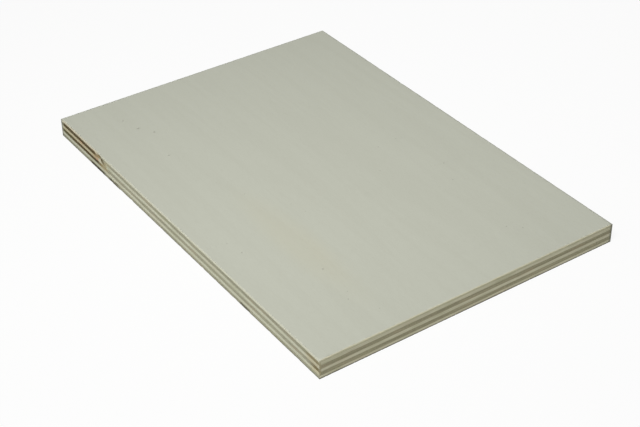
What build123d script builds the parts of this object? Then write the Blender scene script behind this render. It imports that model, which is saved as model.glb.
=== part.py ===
"""A cut sheet of seven-ply poplar plywood, lying flat with its face veneer up.

X runs along the long side, Y along the short side, and Z is up from the underside.
The grain of the face, back and long plies runs along X. The crossbands' grain runs along Y,
so a crossband shows end grain on the long edges and long grain on the short ones.
"""
import os

from build123d import *

# The sheet
sheet_length = 420.0
sheet_width = 297.0

# The plies, from the back up
back_veneer_thickness = 1.1
lower_crossband_thickness = 2.3
lower_long_ply_thickness = 3.3
centre_crossband_thickness = 3.1
upper_long_ply_thickness = 3.4
upper_crossband_thickness = 3.1
face_veneer_thickness = 1.7

# Sanded arrises and corners
arris_bevel = 0.2
corner_radius = 0.3

# The saw mark on the front long edge, where one pass of the blade stopped and the next one met it
blade_diameter = 190.0
blade_reach = 4.0
saw_stop = 139.0
saw_step = 0.35

# The chip that the blade tore out beside its mark, in the ply under the face
chip_length = 13.0
chip_height = 6.0
chip_depth = 0.8
chip_from_end = 76.0
chip_below_face = 2.7

# How far each cutting shape runs past what it cuts
cut_overrun = 1.0

plies = [
    ("back_veneer", back_veneer_thickness),
    ("lower_crossband", lower_crossband_thickness),
    ("lower_long_ply", lower_long_ply_thickness),
    ("centre_crossband", centre_crossband_thickness),
    ("upper_long_ply", upper_long_ply_thickness),
    ("upper_crossband", upper_crossband_thickness),
    ("face_veneer", face_veneer_thickness),
]
sheet_thickness = sum(thickness for name, thickness in plies)

left_end = -sheet_length / 2
front_edge = -sheet_width / 2
blade_radius = blade_diameter / 2

# The first pass of the saw: the blade's travel from its stop to past the right end,
# kept to a slab in front of the edge, which widens at the face and back into their bevels.
first_pass_edge = front_edge + saw_step
flare = arris_bevel + cut_overrun
with BuildPart() as first_pass:
    with BuildSketch(Plane.XZ.offset(-first_pass_edge - flare)):
        with Locations((left_end + saw_stop, blade_radius - blade_reach)):
            Circle(blade_radius)
            Rectangle(
                sheet_length,
                blade_diameter,
                align=(Align.MIN, Align.CENTER),
            )
    extrude(amount=saw_step + flare + cut_overrun)
    with BuildSketch(Plane.YZ.offset(left_end)):
        with BuildLine():
            Polyline(
                (front_edge - cut_overrun, -cut_overrun),
                (first_pass_edge + flare, -cut_overrun),
                (first_pass_edge, arris_bevel),
                (first_pass_edge, sheet_thickness - arris_bevel),
                (first_pass_edge + flare, sheet_thickness + cut_overrun),
                (front_edge - cut_overrun, sheet_thickness + cut_overrun),
                close=True,
            )
        make_face()
    extrude(amount=sheet_length + cut_overrun, mode=Mode.INTERSECT)

# The chip: a spindle laid along the edge, so that it bites deepest at its middle
with BuildPart() as chip:
    with BuildSketch(Plane.XY):
        Ellipse(chip_length / 2, chip_height / 2)
        Rectangle(
            chip_length,
            chip_height,
            align=(Align.CENTER, Align.MAX),
            mode=Mode.SUBTRACT,
        )
    revolve(axis=Axis.X)
chip_place = Location(
    (
        left_end + chip_from_end,
        front_edge + chip_depth - chip_height / 2,
        sheet_thickness - chip_below_face,
    )
)

os.makedirs("parts", exist_ok=True)
ply_base = 0.0
for ply_name, ply_thickness in plies:
    with BuildPart() as ply:
        with BuildSketch(Plane.XY.offset(ply_base)):
            RectangleRounded(sheet_length, sheet_width, corner_radius)
        extrude(amount=ply_thickness)
        if ply_name == "face_veneer":
            chamfer(ply.faces().sort_by(Axis.Z)[-1].edges(), arris_bevel)
        if ply_name == "back_veneer":
            chamfer(ply.faces().sort_by(Axis.Z)[0].edges(), arris_bevel)
        add(first_pass.part, mode=Mode.SUBTRACT)
        add(chip.part.moved(chip_place), mode=Mode.SUBTRACT)
    ply.part.label = ply_name
    export_step(ply.part, f"parts/{ply_name}.step")
    ply_base += ply_thickness
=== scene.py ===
"""Dresses a cut sheet of seven-ply poplar plywood, lying flat with its face veneer up.

Each ply is a finely cut copy of its own solid, with the relief that a saw and sandpaper leave:
tooth marks on the edges, glue lines that wander, chipped arrises, torn fibres in the chip and
small pin knots in the broad faces. The scorch of the blade is marked on the vertices of the front
edge, and the finishes read it there. X runs along the long side and the face grain, Y along the
short side, and Z is up.
"""
import logging
import math
import random
from dataclasses import dataclass, field
from enum import Enum

import bmesh
import bpy
from mathutils import Matrix, Vector, noise


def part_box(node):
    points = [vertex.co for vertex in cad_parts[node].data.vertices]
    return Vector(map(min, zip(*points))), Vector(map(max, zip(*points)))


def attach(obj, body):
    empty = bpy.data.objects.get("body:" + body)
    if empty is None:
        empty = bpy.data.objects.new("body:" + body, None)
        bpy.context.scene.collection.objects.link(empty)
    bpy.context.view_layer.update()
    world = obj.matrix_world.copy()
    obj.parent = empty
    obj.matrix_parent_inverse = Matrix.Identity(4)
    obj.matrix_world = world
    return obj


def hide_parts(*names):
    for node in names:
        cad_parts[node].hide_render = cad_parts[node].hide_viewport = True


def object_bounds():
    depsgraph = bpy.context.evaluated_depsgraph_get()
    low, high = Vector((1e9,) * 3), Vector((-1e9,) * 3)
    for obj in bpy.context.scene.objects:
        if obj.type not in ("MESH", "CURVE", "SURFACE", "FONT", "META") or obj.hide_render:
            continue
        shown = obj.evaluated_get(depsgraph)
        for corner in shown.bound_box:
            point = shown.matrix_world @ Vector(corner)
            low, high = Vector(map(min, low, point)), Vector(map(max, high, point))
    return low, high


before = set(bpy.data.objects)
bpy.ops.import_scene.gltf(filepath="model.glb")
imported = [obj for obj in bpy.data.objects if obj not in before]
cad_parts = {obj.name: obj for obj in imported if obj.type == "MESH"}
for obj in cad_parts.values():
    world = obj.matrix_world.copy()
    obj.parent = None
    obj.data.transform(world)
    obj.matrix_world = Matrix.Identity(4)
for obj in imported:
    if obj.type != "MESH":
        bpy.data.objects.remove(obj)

Tree = bpy.types.NodeTree
Socket = bpy.types.NodeSocket
Mesh = bmesh.types.BMesh
Face = bmesh.types.BMFace
Vert = bmesh.types.BMVert
Layer = bmesh.types.BMLayerItem

MM = 0.001
LOG = logging.getLogger("plywood")
CAD_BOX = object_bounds()
AXES = (Vector((1.0, 0.0, 0.0)), Vector((0.0, 1.0, 0.0)), Vector((0.0, 0.0, 1.0)))

# Two places that are closer than this are the same
SAME_PLACE = 0.01 * MM
# A plane that passes a vertex closer than this cuts through it
CUT_TOLERANCE = 0.002 * MM
# The upward part of a normal: above this a face is flat, and below the other it stands upright
FLAT = 0.9
UPRIGHT = 0.5
# The part of a wall's normal that looks across an edge, above which the wall belongs to that edge
FACING = 0.6

# Settings that many nodes share
SMOOTH = {"interpolation_type": "SMOOTHSTEP"}
COLOURS = {"data_type": "RGBA"}
ADD = {"operation": "ADD"}
CLAMPED_ADD = {**ADD, "use_clamp": True}
MULTIPLY = {"operation": "MULTIPLY"}


class Grain(Enum):
    """The way a ply's fibres run, by the number of their axis."""

    LONG = 0
    CROSS = 1


class Edge(Enum):
    """One of the four sawn edges, by the direction that points into the wood."""

    LEFT = (1.0, 0.0)
    RIGHT = (-1.0, 0.0)
    FRONT = (0.0, 1.0)
    BACK = (0.0, -1.0)

    @property
    def inward(self) -> Vector:
        """The direction that points into the wood."""
        return Vector((*self.value, 0.0))

    @property
    def axis(self) -> int:
        """The number of the axis that the edge runs along."""
        return 0 if self.value[0] == 0.0 else 1


@dataclass(frozen=True)
class Sheet:
    """The box of the whole sheet, in metres."""

    low: Vector
    high: Vector

    @property
    def size(self) -> Vector:
        """The sheet's length, width and thickness."""
        return self.high - self.low

    def corner(self, edge: Edge) -> Vector:
        """The corner of the box that the outside of an edge passes through."""
        return self.low if sum(edge.value) > 0 else self.high

    def inside(self, place: Vector, edge: Edge) -> float:
        """How far a point lies inside an edge, in metres."""
        return (place - self.corner(edge)).dot(edge.inward)

    def near_edges(self, place: Vector, reach: float) -> list[Edge]:
        """The edges that a point lies within reach of."""
        return [edge for edge in Edge if self.inside(place, edge) < reach]

    def along(self, place: Vector) -> float:
        """The distance of a point from the left end, in millimetres."""
        return (place.x - self.low.x) / MM

    def down(self, place: Vector) -> float:
        """The distance of a point below the face, in millimetres."""
        return (self.high.z - place.z) / MM


SHEET = Sheet(*CAD_BOX)


def ease(value: float, start: float, end: float) -> float:
    """Rises smoothly from 0 at the start to 1 at the end, which may lie on either side."""
    share = min(max((value - start) / (end - start), 0.0), 1.0)
    return share * share * (3.0 - 2.0 * share)


def window(value: float, start: float, end: float, fade: float) -> float:
    """Is 1 between two places and fades to 0 across each of them."""
    return ease(value, start - fade / 2, start + fade / 2) * ease(value, end + fade / 2, end - fade / 2)


def noise_at(*place: float) -> float:
    """Reads the noise at a place given by three numbers."""
    return noise.noise(Vector(place))


def linear(hex_colour: str) -> tuple[float, float, float, float]:
    """Turns an sRGB hex colour into a linear one.

    Args:
        hex_colour: The colour, as #RRGGBB.

    Returns:
        Red, green, blue and a full alpha, from 0 to 1.
    """
    channels = [int(hex_colour[k : k + 2], 16) / 255 for k in (1, 3, 5)]
    values = [c / 12.92 if c <= 0.04045 else ((c + 0.055) / 1.055) ** 2.4 for c in channels]
    return (*values, 1.0)


@dataclass(frozen=True)
class SawMark:
    """Where one pass of the circular saw stopped on the front edge, and how its teeth score wood.

    Lengths are in millimetres. The arcs drift by a share of their pitch, and they are deep in
    some places and faint in others. A seed is a place in the noise that nothing else reads.
    """

    blade_radius: float = 95.0
    blade_reach: float = 4.0
    stop_from_left: float = 139.0
    tooth_pitch: float = 2.6
    tooth_depth: float = 0.05
    drift: float = 0.8
    drift_rate: float = 0.21
    drift_seed: float = 3.7
    strength: float = 0.45
    strength_swing: float = 0.55
    strength_rate: float = 0.37
    strength_rate_up: float = 90.0
    strength_seed: float = 9.1

    def outside(self, place: Vector) -> float:
        """How far a point lies outside the blade's circle at the stop.

        Args:
            place: A point on the front edge.

        Returns:
            A distance in millimetres, below zero in the stretch that the first pass cut.
        """
        across = SHEET.along(place) - self.stop_from_left
        up = (place.z - SHEET.low.z) / MM - (self.blade_radius - self.blade_reach)
        distance = math.hypot(across, up) - self.blade_radius
        return min(distance, -across) if across > 0 else distance

    def tooth_relief(self, along: float, height: float, forward: bool) -> float:
        """The depth of the arcs that the teeth score into an edge.

        Args:
            along: Place along the edge, in metres.
            height: Height above the underside, in metres.
            forward: Whether the saw travelled towards larger values of along.

        Returns:
            A depth into the edge, in metres.
        """
        drop = (self.blade_radius - self.blade_reach) * MM - height
        reach = math.sqrt((self.blade_radius * MM) ** 2 - drop**2)
        phase = (along + (reach if forward else -reach)) / (self.tooth_pitch * MM)
        phase += self.drift * noise_at(phase * self.drift_rate, self.drift_seed, 0.0)
        up = height * self.strength_rate_up
        change = noise_at(phase * self.strength_rate, self.strength_seed, up)
        strength = max(self.strength + self.strength_swing * change, 0.0)
        return self.tooth_depth * MM * strength * (0.5 + 0.5 * math.sin(math.tau * phase))


SAW_MARK = SawMark()


@dataclass
class Tint:
    """A colour laid over the wood's own, built up in layers: stains, and painted highlight and shade.

    Attributes:
        colour: The linear colour, already scaled by the amount, so that it fades out cleanly.
        amount: How much of the wood's own colour is covered, from 0 to 1.
    """

    colour: Vector = field(default_factory=lambda: Vector((0.0, 0.0, 0.0)))
    amount: float = 0.0

    def lay(self, hex_colour: str, strength: float) -> None:
        """Lays one more colour over what is there.

        Args:
            hex_colour: The colour.
            strength: How much it covers, from 0 to 1.
        """
        strength = min(max(strength, 0.0), 1.0)
        self.colour = Vector(linear(hex_colour)[:3]) * strength + self.colour * (1.0 - strength)
        self.amount = strength + self.amount * (1.0 - strength)


@dataclass(frozen=True)
class Stain:
    """A stretch of one ply on the front edge with a colour laid over it: mostly stains, and in one
    place painted shade.

    Attributes:
        start: Where it begins, in millimetres from the left end.
        end: Where it ends.
        colour: Its colour.
        strength: How much of the wood's own colour it covers.
        fade: The length over which each end fades, in millimetres.
        top_share: The height of its upper side, as a share of the ply.
        foot_share: The height of its lower side, as a share of the ply.
        rise_fade_share: The height over which each of these fades, as a share of the ply.
    """

    start: float
    end: float
    colour: str
    strength: float
    fade: float = 3.0
    top_share: float = 1.2
    foot_share: float = -0.2
    rise_fade_share: float = 0.35

    def cover(self, along: float, share: float) -> float:
        """How much of the wood it covers at one place."""
        rise = window(share, self.foot_share, self.top_share, self.rise_fade_share)
        return self.strength * rise * window(along, self.start, self.end, self.fade)


SCORCH = "#48380C"
SCORCH_OLIVE = "#47400F"
SOOT = "#2E2A16"
PEACH = "#BBA989"
STAINS_AND_PAINTED_SHADE: dict[str, tuple[Stain, ...]] = {
    "face_veneer": (
        Stain(5.0, 74.0, PEACH, 0.42, 9.0),
        Stain(61.0, 69.0, "#A58A62", 0.5, 7.0, top_share=0.7),
        Stain(5.0, 69.0, SCORCH, 0.75, 4.0, top_share=0.3),
    ),
    "upper_crossband": (
        Stain(4.6, 69.0, SCORCH, 0.98, 4.0),
        Stain(33.0, 51.0, "#6B4420", 0.4, 10.0, top_share=0.3),
        Stain(69.0, 75.5, "#8E7850", 0.85, 4.0),
        Stain(77.0, 81.0, "#4F4119", 0.6, 3.0, foot_share=0.35),
        Stain(84.5, 95.0, "#ADA581", 0.5, 6.0),
        Stain(404.0, 421.0, "#857856", 0.75, 9.0),
    ),
    "upper_long_ply": (
        Stain(4.5, 70.0, "#B5A57D", 0.55, 8.0),
        Stain(5.0, 68.0, SCORCH, 0.6, 4.0, foot_share=0.88),
        Stain(36.5, 43.0, "#BC8E68", 0.4, 7.0, foot_share=0.45),
        Stain(63.0, 71.5, "#9C8259", 0.7, 5.0, foot_share=0.3),
        Stain(69.0, 74.0, "#B78A63", 0.75, 3.5, top_share=0.75),
        Stain(75.8, 78.4, "#D3C8AC", 0.7, 2.0, foot_share=0.1),
        Stain(79.5, 88.0, "#A2946A", 0.7, 6.0),
        Stain(403.0, 421.0, "#B0A27C", 0.4, 12.0),
    ),
    "centre_crossband": (
        Stain(3.8, 25.0, SCORCH_OLIVE, 0.95, 2.5),
        Stain(22.0, 69.0, SCORCH, 0.98, 3.0),
        Stain(67.0, 74.6, "#3B300E", 0.95, 4.0),
        Stain(74.0, 80.5, "#7C6A40", 0.85, 4.0),
        Stain(79.0, 89.0, "#9B8C60", 0.65, 6.0),
        Stain(410.0, 421.0, "#6E6039", 0.85, 7.0),
    ),
    "lower_long_ply": (
        Stain(5.0, 74.0, SCORCH, 0.45, 4.0, foot_share=0.9),
        Stain(77.0, 92.0, "#B0A380", 0.45, 8.0, foot_share=0.4),
        Stain(407.0, 421.0, "#B3A67E", 0.45, 9.0),
    ),
    "lower_crossband": (
        # Painted shade: this grey deepens the end grain of the lower crossband along the bottom of the
        # front edge
        Stain(0.0, 57.0, "#77786A", 0.35, 8.0),
        Stain(57.5, 83.5, SOOT, 0.93, 3.0, top_share=0.85),
        Stain(91.0, 107.0, SOOT, 0.65, 5.0, top_share=0.85),
        Stain(311.5, 323.5, SOOT, 0.6, 4.0, top_share=0.85),
    ),
    "back_veneer": (
        Stain(57.5, 84.0, SOOT, 0.92, 3.0),
        Stain(91.0, 107.5, SOOT, 0.75, 5.0),
        Stain(311.5, 323.5, SOOT, 0.65, 4.0),
    ),
}


@dataclass(frozen=True)
class ScorchAndPaintedShade:
    """How the burnt stretches of the front edge break up, and what else darkens an edge.

    The blade also burnt a stroke beside its arc, and painted shade darkens two upright corners.
    Lengths are in millimetres. The ends of a stretch stray by the wanders at two sizes of noise,
    and its cover changes by the patches. The stroke fades from its core to its half width, and
    from its full depth to its depth, and the painted corner shade from its core to its reach.
    """

    wander: float = 1.8
    wander_size: float = 4.0
    fine_wander: float = 0.6
    fine_size: float = 0.9
    patches: float = 0.12
    fine_patches: float = 0.08
    arc_colour: str = "#4B3C14"
    arc_cover: float = 0.95
    arc_offset: float = 2.1
    arc_wander: float = 0.4
    arc_half_width: float = 2.5
    arc_core: float = 1.3
    arc_top: float = 0.1
    arc_full_depth: float = 3.5
    arc_depth: float = 8.5
    # Painted shade on the upright corners that turn away from the light
    corner_shade_colour: str = "#5C5E52"
    corner_shade_cover: float = 0.85
    corner_core: float = 0.3
    corner_reach: float = 4.0
    corner_wander: float = 0.8
    corner_wander_size: float = 1.6
    skin: float = 1.0

    def lay_on(self, tint: Tint, node: str, place: Vector, share: float) -> None:
        """Lays the stains of one ply, and its painted shade, over a point of its front edge.

        Args:
            tint: The colour laid there so far.
            node: The ply.
            place: The point.
            share: Its height as a share of the ply.
        """
        rough = noise.noise(place / (self.wander_size * MM))
        fine = noise.noise(place / (self.fine_size * MM))
        along = SHEET.along(place) + self.wander * rough + self.fine_wander * fine
        patch = 1.0 + self.patches * rough + self.fine_patches * fine
        for stain in STAINS_AND_PAINTED_SHADE.get(node, ()):
            tint.lay(stain.colour, stain.cover(along, share) * patch)
        gap = SAW_MARK.outside(place) - self.arc_offset + self.arc_wander * rough
        below = SHEET.down(place)
        stroke = ease(abs(gap), self.arc_half_width, self.arc_core)
        stroke *= ease(below, self.arc_depth, self.arc_full_depth)
        if SHEET.along(place) < SAW_MARK.stop_from_left and below > self.arc_top:
            tint.lay(self.arc_colour, self.arc_cover * stroke)

    def paint_corner_shade(self, tint: Tint, place: Vector) -> None:
        """Paints shade on the upright corners at the sheet's left and back ends, which turn away from
        the light.

        Args:
            tint: The colour laid there so far.
            place: A point on an edge.
        """
        for end, edge in {Edge.LEFT: Edge.FRONT, Edge.BACK: Edge.RIGHT}.items():
            if SHEET.inside(place, edge) < self.skin * MM:
                wander = self.corner_wander * noise.noise(place / (self.corner_wander_size * MM))
                gap = SHEET.inside(place, end) / MM + wander
                fall = ease(gap, self.corner_reach, self.corner_core)
                # Painted shade, darkest right at the corner
                tint.lay(self.corner_shade_colour, self.corner_shade_cover * fall)


SCORCH_AND_PAINTED_SHADE = ScorchAndPaintedShade()


def add_node(
    tree: Tree, kind: str, settings: dict | None = None, inputs: dict | None = None
) -> bpy.types.Node:
    """Adds a node with its settings, its input values and its links.

    Args:
        tree: The node tree that gets the node.
        kind: The node's type, such as ShaderNodeMath.
        settings: The node's own properties.
        inputs: Values or output sockets, by input name or number.

    Returns:
        The new node.
    """
    node = tree.nodes.new(kind)
    for key, value in (settings or {}).items():
        setattr(node, key, value)
    for key, value in (inputs or {}).items():
        if isinstance(value, Socket):
            tree.links.new(value, node.inputs[key])
        else:
            node.inputs[key].default_value = value
    return node


@dataclass(frozen=True)
class Pattern:
    """A noise with a real size along the fibres, across them and up.

    Attributes:
        length: Its size along the fibres, in millimetres.
        width: Its size across the fibres, in millimetres.
        height: Its size up the ply, in millimetres, or the width if it is 0.
        detail: How many finer octaves it has.
        distortion: How much it is bent.
        lean: How far it leans over from lying flat, in degrees.
    """

    length: float
    width: float
    height: float = 0.0
    detail: float = 2.0
    distortion: float = 0.0
    lean: float = 0.0

    def drawn(self, tree: Tree, place: Socket, grain: Grain) -> Socket:
        """Adds the noise to a material.

        Args:
            tree: The material's node tree.
            place: Object coordinates.
            grain: The way the fibres run.

        Returns:
            The noise's value.
        """
        size = [self.width * MM, self.width * MM, (self.height or self.width) * MM]
        size[grain.value] = self.length * MM
        turn = [0.0, 0.0, 0.0]
        turn[grain.value] = math.radians(self.lean)
        sized = {"Vector": place, "Rotation": turn, "Scale": size}
        mapped = add_node(tree, "ShaderNodeMapping", {"vector_type": "TEXTURE"}, sized)
        wave = {"Scale": 1.0, "Detail": self.detail, "Distortion": self.distortion}
        wave["Vector"] = mapped.outputs[0]
        return add_node(tree, "ShaderNodeTexNoise", inputs=wave).outputs["Fac"]


def with_stains_and_painted_light(tree: Tree, colour: Socket, broken: Socket) -> Socket:
    """Lays the tint that the vertices hold, stains and painted light, over a colour.

    Args:
        tree: The material's node tree.
        colour: The wood's own colour.
        broken: A fine noise that breaks the tint up.

    Returns:
        The colour with the tint on it.
    """
    tint = add_node(tree, "ShaderNodeAttribute", {"attribute_name": "tint"})
    cover = add_node(tree, "ShaderNodeAttribute", {"attribute_name": "tinted"})
    spread = {"From Min": 0.3, "From Max": 0.7, "To Min": 0.88, "To Max": 1.03}
    shift = add_node(tree, "ShaderNodeMapRange", inputs={"Value": broken, **spread})
    both = {0: cover.outputs["Fac"], 1: shift.outputs[0]}
    amount = add_node(tree, "ShaderNodeMath", {**MULTIPLY, "use_clamp": True}, both)
    uncovered = {0: amount.outputs[0], 6: colour, 7: (0.0, 0.0, 0.0, 1.0)}
    bare = add_node(tree, "ShaderNodeMix", COLOURS, uncovered)
    scaled = {0: tint.outputs["Vector"], "Scale": shift.outputs[0]}
    laid = add_node(tree, "ShaderNodeVectorMath", {"operation": "SCALE"}, scaled)
    both = {0: bare.outputs[2], 1: laid.outputs[0]}
    return add_node(tree, "ShaderNodeVectorMath", ADD, both).outputs[0]


@dataclass(frozen=True)
class SandedPoplar:
    """Rotary-cut poplar veneer, sanded and left bare.

    It looks pale grey-green and matt, with a soft broad figure, short fine pores and belt-sanding
    marks along the grain.
    """

    name: str = "sanded_poplar"
    early_wood: str = "#BDBFB1"
    late_wood: str = "#B0B1A2"
    pore: str = "#96947F"
    warm_streak: str = "#BFB99C"
    pin_knot: str = "#5E5849"
    roughness: float = 0.62
    streak_centre: tuple[float, float, float] = (80.0, -79.0, 18.0)
    streak_half: tuple[float, float, float] = (115.0, 24.0, 40.0)

    def material(self) -> bpy.types.Material:
        """Makes the material.

        Returns:
            The material, with its patterns in Object coordinates.
        """
        material = bpy.data.materials.new(self.name)
        material.use_nodes = True
        tree = material.node_tree
        shader = tree.nodes["Principled BSDF"]
        place = add_node(tree, "ShaderNodeTexCoord").outputs["Object"]
        patterns = {
            "figure": Pattern(170.0, 12.0, detail=3.0, distortion=0.9),
            "fibre": Pattern(9.0, 0.5),
            "pore": Pattern(2.4, 0.24, detail=1.0),
            "mottle": Pattern(80.0, 45.0, distortion=0.4),
            "sanding": Pattern(60.0, 0.35, detail=1.0),
        }
        drawn = {name: pattern.drawn(tree, place, Grain.LONG) for name, pattern in patterns.items()}
        band = {"Value": drawn["figure"], "From Min": 0.36, "From Max": 0.68, "To Max": 0.14}
        rings = add_node(tree, "ShaderNodeMapRange", SMOOTH, band)
        band = {"Value": drawn["fibre"], "From Min": 0.3, "From Max": 0.72, "To Max": 0.3}
        fibres = add_node(tree, "ShaderNodeMapRange", inputs=band)
        band = {"Value": drawn["pore"], "From Min": 0.64, "From Max": 0.78, "To Max": 0.5}
        pores = add_node(tree, "ShaderNodeMapRange", SMOOTH, band)
        both = {0: rings.outputs[0], 1: fibres.outputs[0]}
        late = add_node(tree, "ShaderNodeMath", CLAMPED_ADD, both)
        pins = add_node(tree, "ShaderNodeAttribute", {"attribute_name": "pin"})
        layers = (
            (late.outputs[0], self.late_wood),
            (pores.outputs[0], self.pore),
            (self._streak(tree, place, drawn["mottle"]), self.warm_streak),
            (pins.outputs["Fac"], self.pin_knot),
        )
        colour = linear(self.early_wood)
        for amount, over in layers:
            mixed = {0: amount, 6: colour, 7: linear(over)}
            colour = add_node(tree, "ShaderNodeMix", COLOURS, mixed).outputs[2]
        tree.links.new(with_stains_and_painted_light(tree, colour, drawn["fibre"]), shader.inputs["Base Color"])
        relief = add_node(tree, "ShaderNodeMath", ADD, {0: drawn["sanding"], 1: drawn["fibre"]})
        both = {0: relief.outputs[0], 1: pores.outputs[0]}
        sunk = add_node(tree, "ShaderNodeMath", {"operation": "SUBTRACT"}, both)
        grooves = {"Strength": 0.25, "Distance": 0.05 * MM, "Height": sunk.outputs[0]}
        bump = add_node(tree, "ShaderNodeBump", inputs=grooves)
        tree.links.new(bump.outputs[0], shader.inputs["Normal"])
        sheen = {"To Min": self.roughness - 0.05, "To Max": self.roughness + 0.08}
        gloss = add_node(tree, "ShaderNodeMapRange", inputs={"Value": drawn["mottle"], **sheen})
        tree.links.new(gloss.outputs[0], shader.inputs["Roughness"])
        return material

    def _streak(self, tree: Tree, place: Socket, mottle: Socket) -> Socket:
        """Masks the faint warm streak that runs with the grain near the front edge.

        Args:
            tree: The material's node tree.
            place: Object coordinates.
            mottle: A broad noise that breaks the streak up.

        Returns:
            A mask from 0 to 1.
        """
        centre, half = Vector(self.streak_centre) * MM, Vector(self.streak_half) * MM
        oval = {"Vector": place, "Location": centre, "Scale": half}
        centred = add_node(tree, "ShaderNodeMapping", {"vector_type": "TEXTURE"}, oval)
        from_centre = {0: centred.outputs[0]}
        radius = add_node(tree, "ShaderNodeVectorMath", {"operation": "LENGTH"}, from_centre)
        fall = {"From Min": 0.2, "From Max": 1.0, "To Min": 0.34, "To Max": 0.0}
        fall["Value"] = radius.outputs["Value"]
        soft = add_node(tree, "ShaderNodeMapRange", SMOOTH, fall)
        masked = {0: soft.outputs[0], 1: mottle}
        return add_node(tree, "ShaderNodeMath", MULTIPLY, masked).outputs[0]


@dataclass(frozen=True)
class SawnPly:
    """The sawn edge of one ply of poplar.

    Cut along the fibres it is pale and streaked. Cut across them it is darker and rough, because
    the open fibre ends swallow light, and it shows fine lathe checks that lean over. A thin brown
    glue line closes it at both faces.
    """

    name: str
    grain: Grain
    long_grain: str
    long_streak: str
    end_grain: str
    end_pore: str
    warm: str = "#AD9C7F"
    olive: str = "#8F9168"
    glue: str = "#857F69"
    roughness: float = 0.78
    shine: float = 0.25

    def material(self) -> bpy.types.Material:
        """Makes the material.

        Returns:
            The material, with its patterns in Object coordinates.
        """
        material = bpy.data.materials.new(self.name)
        material.use_nodes = True
        tree = material.node_tree
        shader = tree.nodes["Principled BSDF"]
        texture = add_node(tree, "ShaderNodeTexCoord")
        place = texture.outputs["Object"]
        patterns = {
            "fibre": Pattern(18.0, 0.4),
            "ring": Pattern(60.0, 45.0, 0.55, detail=3.0, distortion=0.25),
            "pore": Pattern(1.6, 0.45, detail=1.0),
            "check": Pattern(2.0, 1.4, 0.16, detail=1.0, lean=58.0),
            "blotch": Pattern(26.0, 17.0, 6.0),
        }
        drawn = {name: pattern.drawn(tree, place, self.grain) for name, pattern in patterns.items()}
        facing = add_node(tree, "ShaderNodeSeparateXYZ", inputs={0: texture.outputs["Normal"]})
        along = {0: facing.outputs[self.grain.value]}
        turned = add_node(tree, "ShaderNodeMath", {"operation": "ABSOLUTE"}, along)
        band = {"Value": turned.outputs[0], "From Min": 0.45, "From Max": 0.8}
        across = add_node(tree, "ShaderNodeMapRange", SMOOTH, band)
        pale, dark = self._cuts(tree, drawn)
        wood = {0: across.outputs[0], 6: pale, 7: dark}
        colour = add_node(tree, "ShaderNodeMix", COLOURS, wood).outputs[2]
        for amount, over in self._layers(tree, drawn["blotch"]):
            mixed = {0: amount, 6: colour, 7: linear(over)}
            colour = add_node(tree, "ShaderNodeMix", COLOURS, mixed).outputs[2]
        tree.links.new(with_stains_and_painted_light(tree, colour, drawn["fibre"]), shader.inputs["Base Color"])
        height = add_node(tree, "ShaderNodeMath", ADD, {0: drawn["pore"], 1: drawn["ring"]})
        grooves = {"Strength": 0.35, "Distance": 0.12 * MM, "Height": height.outputs[0]}
        bump = add_node(tree, "ShaderNodeBump", inputs=grooves)
        tree.links.new(bump.outputs[0], shader.inputs["Normal"])
        sheen = {"To Min": self.roughness - 0.08, "To Max": self.roughness + 0.08}
        gloss = add_node(tree, "ShaderNodeMapRange", inputs={"Value": drawn["fibre"], **sheen})
        tree.links.new(gloss.outputs[0], shader.inputs["Roughness"])
        shader.inputs["Specular IOR Level"].default_value = self.shine
        return material

    def _cuts(self, tree: Tree, drawn: dict[str, Socket]) -> list[Socket]:
        """The colours of an edge: cut along the fibres with fine lines, and across them.

        Args:
            tree: The material's node tree.
            drawn: The noises by name.

        Returns:
            The pale colour, then the dark one, which has pores, rings and lathe checks.
        """
        band = {"Value": drawn["check"], "From Min": 0.66, "From Max": 0.74}
        checks = add_node(tree, "ShaderNodeMapRange", SMOOTH, band)
        colours = []
        for fine, full, cracks, ground, line in (
            ("fibre", 0.42, 0.0, self.long_grain, self.long_streak),
            ("pore", 0.4, checks.outputs[0], self.end_grain, self.end_pore),
        ):
            lines = add_node(tree, "ShaderNodeMath", MULTIPLY, {0: drawn[fine], 1: drawn["ring"]})
            band = {"Value": lines.outputs[0], "From Min": 0.14, "From Max": full}
            amount = add_node(tree, "ShaderNodeMapRange", SMOOTH, band)
            both = {0: amount.outputs[0], 1: cracks}
            most = add_node(tree, "ShaderNodeMath", {"operation": "MAXIMUM"}, both)
            mixed = {0: most.outputs[0], 6: linear(ground), 7: linear(line)}
            colours.append(add_node(tree, "ShaderNodeMix", COLOURS, mixed).outputs[2])
        return colours

    def _layers(self, tree: Tree, blotch: Socket) -> list[tuple[Socket, str]]:
        """What lies over the wood: warm blotches, olive blotches and the glue lines.

        Args:
            tree: The material's node tree.
            blotch: A broad noise.

        Returns:
            Each layer's amount and its colour.
        """
        layers = []
        for start, end, shift in ((0.52, 0.72, self.warm), (0.48, 0.28, self.olive)):
            band = {"Value": blotch, "From Min": start, "From Max": end, "To Max": 0.22}
            amount = add_node(tree, "ShaderNodeMapRange", SMOOTH, band)
            layers.append((amount.outputs[0], shift))
        line = add_node(tree, "ShaderNodeAttribute", {"attribute_name": "glue"})
        steep = {0: line.outputs["Fac"], 1: 3.0}
        thin = add_node(tree, "ShaderNodeMath", {"operation": "POWER"}, steep)
        layers.append((thin.outputs[0], self.glue))
        return layers


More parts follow.
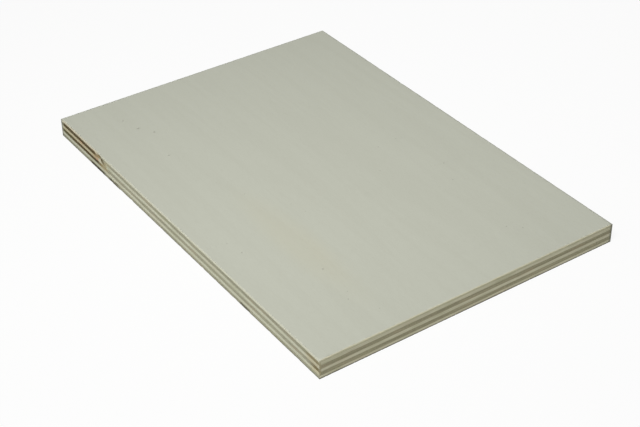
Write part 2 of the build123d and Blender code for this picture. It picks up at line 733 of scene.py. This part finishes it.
@dataclass(frozen=True)
class Relief:
    """How rough the edges and arrises are. Lengths are in millimetres.

    A level says how much of an edge a roughness takes, and a rarity and a gain how seldom and how
    suddenly wood breaks out of an arris. A fine rate says how much finer the second noise is, and
    a seed is a place in the noise that nothing else reads.
    """

    end_grain_depth: float = 0.12
    end_grain_size: float = 1.1
    end_grain_level: float = 0.35
    long_grain_depth: float = 0.05
    long_grain_length: float = 14.0
    long_grain_width: float = 0.7
    long_grain_level: float = 0.4
    torn_depth: float = 0.28
    torn_size: float = 1.3
    torn_level: float = 0.5
    torn_fine_rate: float = 2.7
    glue_groove: float = 0.05
    glue_wander: float = 0.14
    wander_length: float = 55.0
    ripple_share: float = 0.4
    ripple_rate: float = 5.0
    layer_seed: float = 0.37
    splinter_length: float = 1.2
    splinter_width: float = 1.1
    splinter_rarity: float = 0.28
    splinter_gain: float = 1.7
    splinter_fine_rate: float = 2.3
    splinter_seed: float = 11.0
    splinter_patch: float = 14.0
    splinter_patch_level: float = 0.9
    splinter_patch_seed: float = 2.0
    nick_depth: float = 0.3
    nick_length: float = 5.0
    nick_rarity: float = 0.12
    nick_gain: float = 1.6
    nick_seeds: tuple[float, float] = (5.0, 1.7)
    chipped_height: float = 0.7

    def wander(self, place: Vector, layer: int) -> float:
        """How far a glue line strays from its plane.

        Args:
            place: A point near the glue line.
            layer: The glue line's number from the underside up.

        Returns:
            A height in metres.
        """
        around = Vector((place.x, place.y, layer * self.layer_seed)) / (self.wander_length * MM)
        ripple = self.ripple_share * noise.noise(around * self.ripple_rate)
        return self.glue_wander * MM * (noise.noise(around) + ripple)

    def sawn(self, place: Vector, end_grain: bool, edge: Edge) -> float:
        """The roughness of a sawn edge.

        Args:
            place: A point on the edge.
            end_grain: Whether the fibres are cut across there.
            edge: The edge.

        Returns:
            A depth into the edge, in metres.
        """
        if end_grain:
            value = noise.noise(place / (self.end_grain_size * MM))
            return self.end_grain_depth * MM * max(self.end_grain_level + value, 0.0)
        scaled = place / (self.long_grain_width * MM)
        scaled[edge.axis] = place[edge.axis] / (self.long_grain_length * MM)
        return self.long_grain_depth * MM * max(self.long_grain_level + noise.noise(scaled), 0.0)

    def torn(self, place: Vector) -> float:
        """The depth of the torn fibres in the chip beside the saw mark.

        Args:
            place: A point in the chip.

        Returns:
            A depth in metres.
        """
        coarse = place / (self.torn_size * MM)
        fine = 0.5 * noise.noise(coarse * self.torn_fine_rate)
        return self.torn_depth * MM * max(self.torn_level + noise.noise(coarse) + fine, 0.0)

    def chipped(self, place: Vector, edge: Edge) -> float:
        """How far the arris of an outer veneer is broken back.

        On a short edge the saw broke out short splinters along the face grain, and on a long
        edge it left long shallow nicks.

        Args:
            place: A point on the arris.
            edge: The edge.

        Returns:
            A depth into the edge, in metres.
        """
        along, end = place[edge.axis], edge.value[0]
        if edge.axis == 0:
            seed, other_seed = self.nick_seeds
            nick = noise_at(along / (self.nick_length * MM), seed + place.z, other_seed)
            return self.nick_depth * MM * max(nick - self.nick_rarity, 0.0) * self.nick_gain
        spot = Vector((along / (self.splinter_width * MM), self.splinter_seed + place.z, end))
        splinter = noise.noise(spot) + 0.5 * noise.noise(spot * self.splinter_fine_rate)
        broken = max(splinter - self.splinter_rarity, 0.0) * self.splinter_gain
        patch = noise_at(along / (self.splinter_patch * MM), self.splinter_patch_seed, end)
        often = self.splinter_patch_level + 0.5 * patch
        return self.splinter_length * MM * min(broken * often, 1.0)


@dataclass(frozen=True)
class PinKnot:
    """A pin knot in a broad face, by its place from the sheet's centre, in millimetres."""

    x: float
    y: float
    radius: float = 0.8
    strength: float = 0.6


@dataclass(frozen=True)
class ArrisPaintedLight:
    """The thin line of painted light along an arris of the face: highlight on lit arrises, shade on the
    others.

    It covers the wood up to its strength, more in some patches than in others, and each patch
    breaks up finely.
    """

    colour: str
    strength: float
    level: float = 0.85
    patches: float = 0.5
    patch_length: float = 9.0
    patch_seed: float = 4.0
    fine_patches: float = 0.35
    fine_rate: float = 7.0
    fine_seed: float = 8.0

    def cover(self, place: Vector, edge: Edge) -> float:
        """How much of the wood it covers at one place.

        Args:
            place: A point on the arris.
            edge: The edge that the arris belongs to.

        Returns:
            A share from 0 to about 1.
        """
        along = place[edge.axis] / (self.patch_length * MM)
        patch = noise_at(along, self.patch_seed, edge.value[0] + 3.0 * edge.value[1])
        fine = noise_at(along * self.fine_rate, self.fine_seed, edge.value[0])
        return self.strength * (self.level + self.patches * patch + self.fine_patches * fine)


# Painted highlight on the front and right arrises, which face the key light, and painted shade on the
# back and left ones, which turn away from it
ARRIS_PAINTED_LIGHT = {
    Edge.RIGHT: ArrisPaintedLight("#C6BD98", 0.6),
    Edge.FRONT: ArrisPaintedLight("#C2BB9E", 0.3),
    Edge.BACK: ArrisPaintedLight("#8C8D7F", 0.4),
    Edge.LEFT: ArrisPaintedLight("#8C8D7F", 0.4),
}


def cut_across(mesh: Mesh, faces: list[Face], place: Vector, normal: Vector) -> list[Face]:
    """Cuts faces by a plane.

    Args:
        mesh: The mesh that holds the faces.
        faces: The faces to cut.
        place: A point on the plane.
        normal: The direction across the plane.

    Returns:
        The faces on both sides of the plane.
    """
    geometry = {*faces, *(e for f in faces for e in f.edges), *(v for f in faces for v in f.verts)}
    cut = bmesh.ops.bisect_plane(
        mesh, geom=list(geometry), dist=CUT_TOLERANCE, plane_co=place, plane_no=normal
    )
    return [part for part in cut["geom"] if isinstance(part, Face)]


def slice_up(
    mesh: Mesh, faces: list[Face], axis: int, start: float, end: float, step_mm: float
) -> list[Face]:
    """Cuts faces by planes across one axis, from the low end up.

    Args:
        mesh: The mesh that holds the faces.
        faces: The faces to cut.
        axis: 0, 1 or 2 for X, Y or Z.
        start: Where the first step begins.
        end: Where the last step ends.
        step_mm: The distance between two planes, in millimetres.

    Returns:
        The faces between the planes.
    """
    steps = round((end - start) / (step_mm * MM))
    below: list[Face] = []
    rest = faces
    for k in range(1, steps):
        place = start + (end - start) * k / steps
        parts = cut_across(mesh, rest, AXES[axis] * place, AXES[axis])
        rest = [f for f in parts if f.calc_center_median()[axis] > place]
        below += set(parts) - set(rest)
    return below + rest


@dataclass
class Ply:
    """One ply of the sheet, cut fine along its edges.

    Attributes:
        node: The ply's solid in the frame.
        slot: The material slot named for it, which is not used.
        layer: Its number from the underside up.
        last_layer: The number of the face veneer.
        edge: The finish of its sawn edges.
        relief: How rough its edges are.
        column: The width of one step along an edge, in millimetres.
        fine_column: The same beside the saw mark.
        fine_stretch: Where the fine columns begin and end, in millimetres from the left end.
        row: The height of one step up an edge, in millimetres.
        cap_rim: The width of the rim between an edge and a broad face, in millimetres.
        chip_skin: How far inside the front edge the chip's own surface begins, in millimetres.
        flat_angle: Facets of the solid that meet at less than this are one, in degrees.
        sharp_angle: Faces that meet at more than this have a sharp edge, in degrees.
        low: The ply's lowest corner, in metres.
        high: Its highest corner.
    """

    node: str
    slot: str
    layer: int
    last_layer: int
    edge: SawnPly
    relief: Relief = Relief()
    column: float = 0.5
    fine_column: float = 0.25
    fine_stretch: tuple[float, float] = (66.0, 98.0)
    row: float = 0.38
    cap_rim: float = 1.5
    chip_skin: float = 0.12
    flat_angle: float = 0.5
    sharp_angle: float = 38.0
    low: Vector = field(init=False)
    high: Vector = field(init=False)

    def __post_init__(self) -> None:
        """Reads the ply's corners from the frame."""
        self.low, self.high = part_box(self.node)

    def build(self) -> bpy.types.Object:
        """Makes the ply's mesh, dresses it and puts it in place of its solid.

        Returns:
            The dressed ply.
        """
        mesh = bmesh.new()
        mesh.from_mesh(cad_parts[self.node].data)
        bmesh.ops.remove_doubles(mesh, verts=mesh.verts, dist=0.001 * MM)
        flat = math.radians(self.flat_angle)
        bmesh.ops.dissolve_limit(mesh, angle_limit=flat, verts=mesh.verts, edges=mesh.edges)
        self._rim_caps(mesh)
        self._cut_edges(mesh)
        layers = {name: mesh.verts.layers.float.new(name) for name in ("glue", "tinted", "pin")}
        layers["tint"] = mesh.verts.layers.float_vector.new("tint")
        mesh.normal_update()
        self._finish_caps(mesh, layers["pin"])
        self._mark(mesh, layers)
        self._roughen(mesh)
        bmesh.ops.recalc_face_normals(mesh, faces=mesh.faces)
        data = bpy.data.meshes.new(f"{self.node}_cut")
        mesh.to_mesh(data)
        mesh.free()
        data.shade_smooth()
        data.set_sharp_from_angle(angle=math.radians(self.sharp_angle))
        piece = bpy.data.objects.new(f"{self.node}_cut", data)
        bpy.context.scene.collection.objects.link(piece)
        for material in self._materials():
            data.materials.append(material)
        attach(piece, "root")
        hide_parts(self.node)
        return piece

    def _materials(self) -> list[bpy.types.Material]:
        """The ply's materials, the one for its edges first."""
        return [self.edge.material()]

    def _rim_caps(self, mesh: Mesh) -> None:
        """Cuts a narrow rim off the two broad faces, so that what the edge does stays in it.

        Args:
            mesh: The ply's mesh.
        """
        rim = self.cap_rim * MM
        inner = [f for f in mesh.faces if abs(f.normal.z) > FLAT]
        for edge in (Edge.FRONT, Edge.BACK, Edge.LEFT, Edge.RIGHT):
            parts = cut_across(mesh, inner, SHEET.corner(edge) + edge.inward * rim, edge.inward)
            inner = [f for f in parts if SHEET.inside(f.calc_center_bounds(), edge) > rim]

    def _runs_along(self, face: Face, axis: int) -> bool:
        """Whether a face belongs to an edge, or to the rim beside it, that runs along an axis.

        Args:
            face: The face.
            axis: 0 or 1 for X or Y.

        Returns:
            True if it does.
        """
        if abs(face.normal.z) < FLAT:
            return abs(face.normal[1 - axis]) > FACING
        near = SHEET.near_edges(face.calc_center_median(), self.cap_rim * MM)
        return any(edge.axis == axis for edge in near)

    def _cut_edges(self, mesh: Mesh) -> None:
        """Cuts the edges into columns and rows, with narrower columns beside the saw mark.

        Args:
            mesh: The ply's mesh.
        """
        for axis in (0, 1):
            walls = [f for f in mesh.faces if self._runs_along(f, axis)]
            slice_up(mesh, walls, axis, self.low[axis], self.high[axis], self.column)
        start, end = (SHEET.low.x + place * MM for place in self.fine_stretch)
        front = [f for f in mesh.faces if self._runs_along(f, 0) and f.calc_center_median().y < 0.0]
        beside = [f for f in front if start < f.calc_center_median().x < end]
        slice_up(mesh, beside, 0, start, end, self.fine_column)
        walls = [f for f in mesh.faces if abs(f.normal.z) < UPRIGHT]
        thickness = self.high.z - self.low.z
        rows = max(round(thickness / (self.row * MM)), 2)
        slice_up(mesh, walls, 2, self.low.z, self.high.z, thickness / rows / MM)

    @staticmethod
    def _edge_verts(mesh: Mesh) -> list[Vert]:
        """The vertices that belong to an edge, and not only to the flat of a broad face."""
        return [v for v in mesh.verts if any(abs(f.normal.z) <= FLAT for f in v.link_faces)]

    def _share(self, place: Vector) -> float:
        """A point's height as a share of the ply."""
        return (place.z - self.low.z) / (self.high.z - self.low.z)

    def _on_glue(self, place: Vector) -> bool:
        """Whether a point lies on a glue line."""
        on_lower = self.layer > 0 and place.z < self.low.z + SAME_PLACE
        return on_lower or (self.layer < self.last_layer and place.z > self.high.z - SAME_PLACE)

    def _finish_caps(self, mesh: Mesh, pin: Layer) -> None:
        """Leaves the hidden faces of an inner ply plain."""

    def _paint_arris_light(self, tint: Tint, place: Vector) -> None:
        """Leaves the arrises of an inner ply alone, because it has none."""

    def _chipped(self, place: Vector, edge: Edge) -> float:
        """How far the edge of an inner ply is broken back, which it isn't."""
        return 0.0

    def _mark(self, mesh: Mesh, layers: dict[str, Layer]) -> None:
        """Marks the glue lines, the stains and the painted highlight and shade on the vertices of the
        edges.

        Args:
            mesh: The ply's mesh.
            layers: The vertex layers by name.
        """
        for vert in self._edge_verts(mesh):
            vert[layers["glue"]] = float(self._on_glue(vert.co))
            tint = Tint()
            if SHEET.inside(vert.co, Edge.FRONT) < self.cap_rim * MM:
                SCORCH_AND_PAINTED_SHADE.lay_on(tint, self.node, vert.co, self._share(vert.co))
            self._paint_arris_light(tint, vert.co)
            SCORCH_AND_PAINTED_SHADE.paint_corner_shade(tint, vert.co)
            vert[layers["tint"]] = tint.colour
            vert[layers["tinted"]] = tint.amount

    def _roughen(self, mesh: Mesh) -> None:
        """Gives the edges their relief, always into the wood.

        Args:
            mesh: The ply's mesh.
        """
        for vert in self._edge_verts(mesh):
            place = vert.co.copy()
            share = self._share(place)
            push = Vector((0.0, 0.0, 0.0))
            for edge in SHEET.near_edges(place, self.cap_rim * MM):
                push += edge.inward * self._depth(place, edge)
            if self.layer > 0:
                push.z += (1 - share) * self.relief.wander(place, self.layer)
            if self.layer < self.last_layer:
                push.z += share * self.relief.wander(place, self.layer + 1)
            vert.co += push

    def _depth(self, place: Vector, edge: Edge) -> float:
        """How far the wood is worn away from one edge.

        Args:
            place: A point on the edge.
            edge: The edge.

        Returns:
            A depth in metres.
        """
        end_grain = self.edge.grain.value != edge.axis
        depth = self.relief.sawn(place, end_grain, edge)
        past_mark = edge is Edge.FRONT and SAW_MARK.outside(place) > 0.0
        depth += SAW_MARK.tooth_relief(place[edge.axis], place.z, past_mark)
        if past_mark and SHEET.inside(place, edge) > self.chip_skin * MM:
            depth += self.relief.torn(place)
        if self._on_glue(place):
            depth += self.relief.glue_groove * MM
        return depth + self._chipped(place, edge)


@dataclass
class Veneer(Ply):
    """An outer ply, with one broad face in sight. Lengths are in millimetres.

    Attributes:
        face: The finish of the broad face.
        pins: The pin knots in the broad face.
        pit_depth: How deep a pin knot is sunk.
        pit_step: The step of the fine mesh round a pin knot.
        painted_arris_height: How far down from the face its arris gets painted highlight and shade.
        painted_arris_reach: How far in from the edge.
    """

    face: SandedPoplar = SandedPoplar()
    pins: tuple[PinKnot, ...] = ()
    pit_depth: float = 0.15
    pit_step: float = 0.3
    painted_arris_height: float = 0.3
    painted_arris_reach: float = 0.6

    @property
    def outward(self) -> float:
        """Whether the broad face in sight looks up (1) or down (-1)."""
        return 1.0 if self.layer else -1.0

    def _materials(self) -> list[bpy.types.Material]:
        """The edges' material, then the broad face's."""
        return [self.edge.material(), self.face.material()]

    def _finish_caps(self, mesh: Mesh, pin: Layer) -> None:
        """Gives the broad face in sight its own finish and its pin knots.

        Args:
            mesh: The ply's mesh.
            pin: The layer that marks the pin knots.
        """
        for face in mesh.faces:
            if face.normal.z * self.outward > UPRIGHT:
                face.material_index = 1
        broad = [f for f in mesh.faces if f.normal.z * self.outward > FLAT]
        cells = [max(broad, key=lambda f: f.calc_area())]
        for knot in self.pins:
            centre = Vector((knot.x, knot.y, 0.0)) * MM
            half = round(knot.radius / self.pit_step + 1) * self.pit_step * MM
            cell = self._cell_around(cells, centre)
            cells.remove(cell)
            for axis in (0, 1):
                for side in (-1.0, 1.0):
                    place = centre[axis] + side * half
                    parts = cut_across(mesh, [cell], AXES[axis] * place, AXES[axis])
                    cell = next(f for f in parts if (place - f.calc_center_bounds()[axis]) * side > 0)
                    cells += [f for f in parts if f is not cell]
            self._sink(mesh, pin, cell, knot, centre, half)

    @staticmethod
    def _cell_around(cells: list[Face], centre: Vector) -> Face:
        """Finds the flat rectangle that a point lies in.

        Args:
            cells: The rectangles.
            centre: The point.

        Returns:
            The rectangle.

        Raises:
            ValueError: If the point lies in none of them.
        """
        for cell in cells:
            spans = [[v.co[axis] for v in cell.verts] for axis in (0, 1)]
            if all(min(span) < centre[axis] < max(span) for axis, span in enumerate(spans)):
                return cell
        raise ValueError("a pin knot lies outside the broad face")

    def _sink(
        self, mesh: Mesh, pin: Layer, cell: Face, knot: PinKnot, centre: Vector, half: float
    ) -> None:
        """Sinks a small pit for a pin knot and marks it.

        Args:
            mesh: The mesh that holds the cell.
            pin: The layer that holds the mark.
            cell: The square around the knot.
            knot: The knot.
            centre: The knot's centre.
            half: Half the square's side.
        """
        cells = [cell]
        for axis in (0, 1):
            low, high = centre[axis] - half, centre[axis] + half
            cells = slice_up(mesh, cells, axis, low, high, self.pit_step)
        for vert in {v for f in cells for v in f.verts}:
            gap = (vert.co - centre).to_2d().length / (knot.radius * MM)
            share = max(1.0 - gap * gap, 0.0)
            vert[pin] = knot.strength * share
            vert.co.z -= self.outward * self.pit_depth * MM * share * share

    def _paint_arris_light(self, tint: Tint, place: Vector) -> None:
        """Paints highlight and shade on the arris of the face.

        Args:
            tint: The colour laid there so far.
            place: A point on an edge.
        """
        if self.layer < self.last_layer or place.z < self.high.z - self.painted_arris_height * MM:
            return
        for edge in SHEET.near_edges(place, self.painted_arris_reach * MM):
            arris = ARRIS_PAINTED_LIGHT[edge]
            tint.lay(arris.colour, arris.cover(place, edge))

    def _chipped(self, place: Vector, edge: Edge) -> float:
        """How far the arris of the broad face in sight is broken back.

        Args:
            place: A point on the edge.
            edge: The edge.

        Returns:
            A depth in metres.
        """
        gap = self.high.z - place.z if self.layer else place.z - self.low.z
        fall = ease(gap, self.relief.chipped_height * MM, 0.0)
        return fall * self.relief.chipped(place, edge) if fall > 0.0 else 0.0


@dataclass
class PlywoodSheet:
    """The whole sheet, from the back veneer up.

    Attributes:
        relief: How rough its edges are.
        face_pins: The pin knots in the face, where the photo has its faint dark spots.
        back_pin_count: How many pin knots the underside has.
        back_pin_reach_share: How far from the centre they lie at most, as a share of a side.
        back_pin_radius: Their least and greatest radius, in millimetres.
        back_pin_strength: Their least and greatest strength.
    """

    relief: Relief = Relief()
    face_pins: tuple[PinKnot, ...] = (
        PinKnot(-173, -103, 1.3, 0.35),
        PinKnot(-153, -98, 1.6, 0.35),
        PinKnot(-139, -89, 1.4, 0.35),
        PinKnot(-97, -98, 1.3, 0.3),
        PinKnot(-6, -76, 0.6, 0.5),
        PinKnot(30, -52, 0.6, 0.4),
        PinKnot(46, -48, 0.5, 0.4),
        PinKnot(46, -126, 0.8, 0.3),
        PinKnot(64, -123, 0.8, 0.6),
        PinKnot(120, -82, 0.8, 0.5),
        PinKnot(163, -88, 0.6, 0.6),
        PinKnot(155, -83, 0.5, 0.4),
        PinKnot(1, 62, 0.7, 0.5),
        PinKnot(-1, 83, 0.6, 0.4),
        PinKnot(33, 40, 0.6, 0.4),
        PinKnot(56, 93, 0.7, 0.5),
        PinKnot(81, 83, 0.6, 0.5),
        PinKnot(161, 75, 0.7, 0.5),
        PinKnot(170, 85, 0.7, 0.5),
        PinKnot(186, -75, 0.6, 0.5),
    )
    back_pin_count: int = 14
    back_pin_reach_share: float = 0.45
    back_pin_radius: tuple[float, float] = (0.5, 1.1)
    back_pin_strength: tuple[float, float] = (0.4, 0.7)

    def plies(self) -> list[Ply]:
        """Describes each ply.

        Returns:
            The plies, from the back veneer up.
        """
        crossband = (Grain.CROSS, "#C5C2A9", "#AEAA90", "#A09F89", "#7F7D6A")
        long_ply = (Grain.LONG, "#C1C2AD", "#ABAB95", "#9F9B80", "#7A765E")
        layers = [
            # The back veneer's edge colours are far darker than the other plies': painted shade where
            # the underside meets the floor
            ("back_veneer", "veneer", (Grain.LONG, "#7E7F70", "#6C6C5F", "#686757", "#4D4B40")),
            ("lower_crossband", "crossband", crossband),
            ("lower_long_ply", "long_ply", long_ply),
            ("centre_crossband", "crossband", crossband),
            ("upper_long_ply", "long_ply", long_ply),
            ("upper_crossband", "crossband", crossband),
            ("face_veneer", "veneer", (Grain.LONG, "#C6C7B4", "#B9B9A3", "#BFBDA1", "#A2A086")),
        ]
        last = len(layers) - 1
        pins = {0: self._back_pins(), last: self.face_pins}
        made: list[Ply] = []
        for layer, (node, slot, wood) in enumerate(layers):
            edge = SawnPly(f"sawn_poplar_{node}", *wood)
            if layer in pins:
                made.append(Veneer(node, slot, layer, last, edge, self.relief, pins=pins[layer]))
            else:
                made.append(Ply(node, slot, layer, last, edge, self.relief))
        return made

    def _back_pins(self) -> tuple[PinKnot, ...]:
        """Scatters pin knots over the underside.

        Returns:
            The pin knots.
        """
        reach = self.back_pin_reach_share
        pins = []
        for _ in range(self.back_pin_count):
            x, y = (random.uniform(-reach, reach) * SHEET.size[axis] / MM for axis in (0, 1))
            radius = random.uniform(*self.back_pin_radius)
            pins.append(PinKnot(x, y, radius, random.uniform(*self.back_pin_strength)))
        return tuple(pins)


@dataclass(frozen=True)
class Studio:
    """A pale floor, soft light and the camera.

    The floor and the light are sized in metres, but the gap, the lens and the sensor in
    millimetres. The camera's angles are in radians, and its distance and the offset of the sheet
    from its axis are in lengths of the sheet.
    """

    floor_half: float = 3.0
    floor_gap: float = 0.2
    floor_colour: str = "#E6E6E4"
    floor_glow: float = 0.9
    sky_strength: float = 0.279
    key_power: float = 3.83
    key_size: float = 0.9
    key_spread: float = 45.0
    key_place: tuple[float, float, float] = (0.562, -1.142, 1.773)
    lens: float = 81.522
    sensor: float = 36.0
    clip: tuple[float, float] = (0.05, 20.0)
    azimuth: float = 0.96873
    elevation: float = 0.61366
    roll: float = 0.01183
    distance: float = 3.03398
    offset: tuple[float, float] = (0.00217, 0.0941)

    def build(self) -> None:
        """Sets the floor, the lights and the camera."""
        self._floor()
        self._sky()
        self._key()
        self._camera()

    def _floor(self) -> None:
        """Lays the floor, which the camera sees near white and which keeps the shadow."""
        mesh = bmesh.new()
        bmesh.ops.create_grid(mesh, x_segments=1, y_segments=1, size=self.floor_half)
        bmesh.ops.translate(mesh, verts=mesh.verts, vec=(0.0, 0.0, -self.floor_gap * MM))
        data = bpy.data.meshes.new("floor")
        mesh.to_mesh(data)
        mesh.free()
        floor = bpy.data.objects.new("floor", data)
        bpy.context.scene.collection.objects.link(floor)
        material = bpy.data.materials.new("pale_floor")
        material.use_nodes = True
        tree = material.node_tree
        shader = tree.nodes["Principled BSDF"]
        shader.inputs["Base Color"].default_value = linear(self.floor_colour)
        shader.inputs["Roughness"].default_value = 0.9
        shader.inputs["Specular IOR Level"].default_value = 0.0
        white = {"Color": (1.0, 1.0, 1.0, 1.0), "Strength": 1.0}
        glow = add_node(tree, "ShaderNodeEmission", inputs=white)
        seen = add_node(tree, "ShaderNodeMath", MULTIPLY, {0: self._seen(tree), 1: self.floor_glow})
        mixed = {0: seen.outputs[0], 1: shader.outputs[0], 2: glow.outputs[0]}
        both = add_node(tree, "ShaderNodeMixShader", inputs=mixed)
        tree.links.new(both.outputs[0], tree.nodes["Material Output"].inputs["Surface"])
        data.materials.append(material)

    @staticmethod
    def _seen(tree: Tree) -> Socket:
        """Is 1 for what the camera sees, also in gloss and through glass.

        Args:
            tree: The floor's node tree.

        Returns:
            A value of 0 or 1.
        """
        ray = add_node(tree, "ShaderNodeLightPath")
        seen = ray.outputs["Is Camera Ray"]
        for kind in ("Is Glossy Ray", "Is Transmission Ray"):
            both = {0: seen, 1: ray.outputs[kind]}
            seen = add_node(tree, "ShaderNodeMath", CLAMPED_ADD, both).outputs[0]
        return seen

    def _sky(self) -> None:
        """Sets an even soft sky, which the camera sees white."""
        world = bpy.data.worlds.new("studio")
        bpy.context.scene.world = world
        world.use_nodes = True
        tree = world.node_tree
        back = tree.nodes["Background"]
        back.inputs["Color"].default_value = (1.0, 1.0, 1.0, 1.0)
        ray = add_node(tree, "ShaderNodeLightPath")
        levels = {"To Min": self.sky_strength, "To Max": 1.0}
        seen = {"Value": ray.outputs["Is Camera Ray"], **levels}
        level = add_node(tree, "ShaderNodeMapRange", inputs=seen)
        tree.links.new(level.outputs[0], back.inputs["Strength"])

    def _key(self) -> None:
        """Hangs the soft key light over the front edge."""
        data = bpy.data.lights.new("key", "AREA")
        data.size = self.key_size
        data.spread = math.radians(self.key_spread)
        data.energy = self.key_power
        lamp = bpy.data.objects.new("key", data)
        bpy.context.scene.collection.objects.link(lamp)
        lamp.location = self.key_place
        lamp.rotation_euler = (-Vector(self.key_place)).to_track_quat("-Z", "Y").to_euler()

    def _camera(self) -> None:
        """Sets the camera at the photograph's place, worked out in lengths of the sheet."""
        data = bpy.data.cameras.new("camera")
        data.lens = self.lens
        data.sensor_width = self.sensor
        data.clip_start, data.clip_end = self.clip
        camera = bpy.data.objects.new("camera", data)
        bpy.context.scene.collection.objects.link(camera)
        east = math.sin(self.azimuth) * math.cos(self.elevation)
        north = -math.cos(self.azimuth) * math.cos(self.elevation)
        back = Vector((east, north, math.sin(self.elevation)))
        right = AXES[2].cross(back).normalized()
        turn = Matrix((right, back.cross(right), back))
        rolled = Matrix.Rotation(self.roll, 3, "Z") @ turn
        shift = Vector((*self.offset, -self.distance)) * SHEET.size.x
        place = rolled.transposed() @ -shift
        place.z += SHEET.size.z
        camera.matrix_world = Matrix.Translation(place) @ rolled.transposed().to_4x4()
        bpy.context.scene.camera = camera


def main() -> None:
    """Builds the sheet, ply by ply, and its studio."""
    logging.basicConfig(level=logging.INFO)
    bpy.context.scene.view_settings.view_transform = "Standard"
    random.seed(7)
    for ply in PlywoodSheet().plies():
        piece = ply.build()
        LOG.info("%s has %d faces", piece.name, len(piece.data.polygons))
    Studio().build()


if __name__ == "__main__":
    main()
